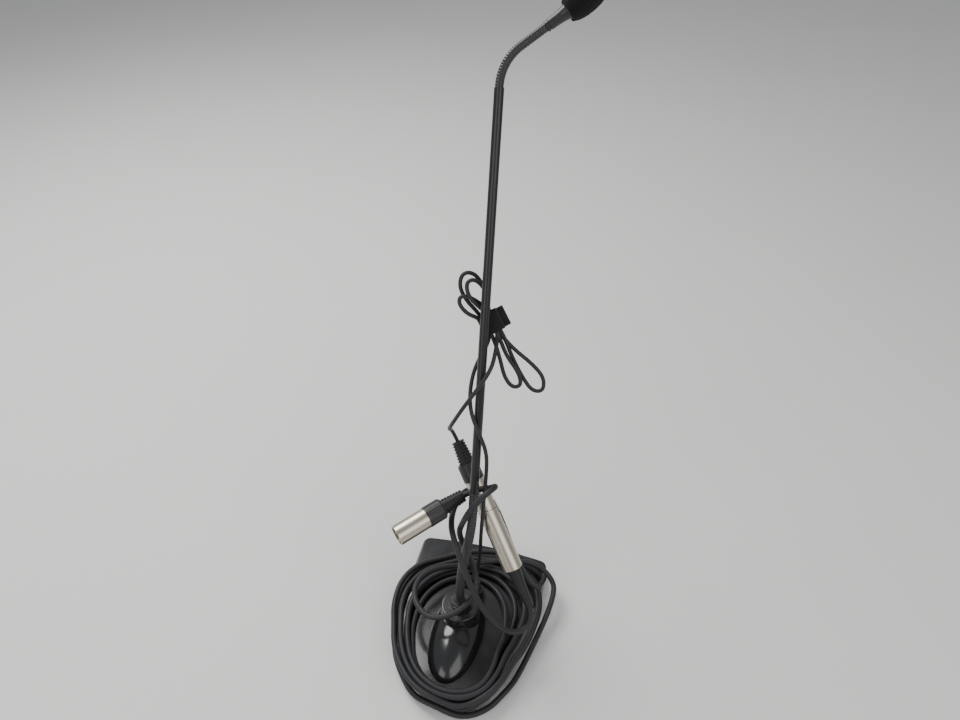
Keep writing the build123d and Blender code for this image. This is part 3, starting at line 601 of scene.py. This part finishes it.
# %% One finish from the groups
def finish(name, base, roughness, shade=0.25, spread=0.12, patch=60, grain_scale=2500, bump=0.05,
           depth=0.0001, metallic=0.0, coat=0.0, sheen=0.0, shine=0.5, dusty=0.02, cells=None):
    """A material: grain, then dust, then a bump from the grain or from foam or loop cells."""
    material = bpy.data.materials.new(name)
    material.use_nodes = True
    tree = material.node_tree
    shader = tree.nodes["Principled BSDF"]
    shader.inputs["Metallic"].default_value = metallic
    shader.inputs["Coat Weight"].default_value = coat
    shader.inputs["Coat Roughness"].default_value = 0.12
    shader.inputs["Sheen Weight"].default_value = sheen
    shader.inputs["Specular IOR Level"].default_value = shine
    surface = tree.nodes.new("ShaderNodeGroup")
    surface.node_tree = grain
    for label, value in (("Color", (*base, 1)), ("Shade", shade), ("Roughness", roughness),
                         ("Spread", spread), ("Patch Scale", patch), ("Grain Scale", grain_scale)):
        surface.inputs[label].default_value = value
    top = tree.nodes.new("ShaderNodeGroup")
    top.node_tree = dust
    top.inputs["Amount"].default_value = dusty
    tree.links.new(surface.outputs["Color"], top.inputs["Color"])
    tree.links.new(surface.outputs["Roughness"], top.inputs["Roughness"])
    tree.links.new(top.outputs["Color"], shader.inputs["Base Color"])
    tree.links.new(top.outputs["Roughness"], shader.inputs["Roughness"])
    relief = tree.nodes.new("ShaderNodeBump")
    relief.inputs["Strength"].default_value = bump
    relief.inputs["Distance"].default_value = depth
    height = surface.outputs["Height"]
    if cells:
        pores = tree.nodes.new("ShaderNodeTexVoronoi")
        pores.inputs["Scale"].default_value = cells
        where = tree.nodes.new("ShaderNodeTexCoord")
        tree.links.new(where.outputs["Object"], pores.inputs["Vector"])
        height = math_node(tree, "ADD", pores.outputs["Distance"], height)
    tree.links.new(height, relief.inputs["Height"])
    tree.links.new(relief.outputs["Normal"], shader.inputs["Normal"])
    return material


# %% The finish of each kind of piece
finishes = {
    "shell_plastic": finish("shell_plastic", (0.012, 0.012, 0.013), 0.2, bump=0.03, coat=0.4, dusty=0.012),
    "cover_plastic": finish("cover_plastic", (0.025, 0.025, 0.026), 0.55, bump=0.15),
    "ballast_steel": finish("ballast_steel", (0.1, 0.1, 0.105), 0.5, metallic=0.8),
    "foot_rubber": finish("foot_rubber", (0.02, 0.02, 0.02), 0.8, bump=0.3),
    "screw_steel": finish("screw_steel", (0.08, 0.08, 0.08), 0.4, metallic=0.9),
    "board_laminate": finish("board_laminate", (0.02, 0.12, 0.05), 0.35, shade=0.4, patch=300),
    "socket_metal": finish("socket_metal", (0.03, 0.03, 0.032), 0.3, metallic=0.5),
    "zinc_steel": finish("zinc_steel", (0.55, 0.55, 0.57), 0.3, metallic=1.0),
    "flex_metal": finish("flex_metal", (0.025, 0.025, 0.027), 0.38, spread=0.2, metallic=0.2, coat=0.1),
    "gland_rubber": finish("gland_rubber", (0.025, 0.025, 0.026), 0.65, bump=0.2),
    "thin_cable": finish("thin_cable", (0.02, 0.02, 0.021), 0.45, spread=0.2, bump=0.12, shine=0.35),
    "wire_insulation": finish("wire_insulation", (0.4, 0.03, 0.02), 0.35),
    "lead_jacket": finish("lead_jacket", (0.022, 0.022, 0.024), 0.48, spread=0.2, bump=0.15, shine=0.32,
                          dusty=0.03),
    "collar_plastic": finish("collar_plastic", (0.015, 0.015, 0.016), 0.25, coat=0.2),
    "tube_metal": finish("tube_metal", (0.012, 0.012, 0.013), 0.33, spread=0.1, shine=0.4, coat=0.1),
    "strap_fabric": finish("strap_fabric", (0.018, 0.018, 0.019), 0.9, bump=0.8, depth=0.0004,
                           sheen=0.1, shine=0.15, cells=1400),
    "boot_rubber": finish("boot_rubber", (0.014, 0.014, 0.015), 0.5, bump=0.15, shine=0.35),
    "bushing_plastic": finish("bushing_plastic", (0.018, 0.018, 0.019), 0.4, bump=0.1),
    "plug_metal": finish("plug_metal", (0.55, 0.5, 0.41), 0.32, shade=0.15, spread=0.15, metallic=1.0,
                         bump=0.08, dusty=0.03),
    "insert_plastic": finish("insert_plastic", (0.02, 0.02, 0.021), 0.5),
    "contact_plating": finish("contact_plating", (0.75, 0.58, 0.25), 0.25, metallic=1.0, dusty=0.0),
    "relief_rubber": finish("relief_rubber", (0.015, 0.015, 0.016), 0.5, bump=0.15, shine=0.35),
    "tab_metal": finish("tab_metal", (0.3, 0.29, 0.27), 0.4, metallic=0.9),
    "adapter_metal": finish("adapter_metal", (0.018, 0.018, 0.019), 0.36, spread=0.12),
    "element_metal": finish("element_metal", (0.7, 0.7, 0.71), 0.3, metallic=1.0),
    "foam": finish("foam", (0.012, 0.012, 0.013), 0.95, bump=1.0, depth=0.0006, sheen=0.05, shine=0.1,
                   cells=1300, dusty=0.02),
}
for entry in frame["record"]["subparts"]:
    node = nodes[entry["node"]]
    material = finishes[entry["material_slot"]]
    if node.material_slots:
        for place in node.material_slots:
            place.material = material
    else:
        node.data.materials.append(material)
for piece, kind in ((lead, "lead_jacket"), (thin, "thin_cable"), (lower_flex, "flex_metal"),
                    (upper_low, "flex_metal"), (upper_high, "flex_metal"), (foam, "foam"),
                    (band, "strap_fabric")):
    piece.data.materials.clear()
    piece.data.materials.append(finishes[kind])
print("finishes", len(finishes))

# %% [markdown]
# ## Floor and light
# A pale floor and large soft lamps show dark pieces by their highlights. The lamp behind the
# microphone draws the long bright lines on the tube and on the dome.

# %% Floor, lamps and surroundings
floor_mesh = bpy.data.meshes.new("floor")
floor_half = 3.0
floor_mesh.from_pydata([(-floor_half, -floor_half, 0), (floor_half, -floor_half, 0),
                        (floor_half, floor_half, 0), (-floor_half, floor_half, 0)], [], [(0, 1, 2, 3)])
floor = add_object("floor", floor_mesh)
floor_mesh.materials.append(finish("floor_paper", (0.78, 0.77, 0.75), 0.7, shade=0.04, patch=4, dusty=0.0))
aim = Vector((0, 0.03, 0.15))
for name, power, width, spot in (("key", 26, 0.9, (-0.9, 0.6, 1.5)), ("fill", 12, 1.4, (1.3, -0.9, 1.2)),
                                 ("front", 7, 1.0, (-0.6, -1.3, 0.9))):
    lamp = bpy.data.lights.new(name, "AREA")
    lamp.energy = power
    lamp.size = width
    stand = bpy.data.objects.new(name, lamp)
    bpy.context.scene.collection.objects.link(stand)
    stand.location = spot
    stand.rotation_euler = (aim - Vector(spot)).to_track_quat("-Z", "Y").to_euler()
world = bpy.data.worlds.new("studio")
bpy.context.scene.world = world
world.use_nodes = True
world.node_tree.nodes["Background"].inputs["Color"].default_value = (0.9, 0.92, 0.95, 1)
world.node_tree.nodes["Background"].inputs["Strength"].default_value = 0.42
print("lamps 3")
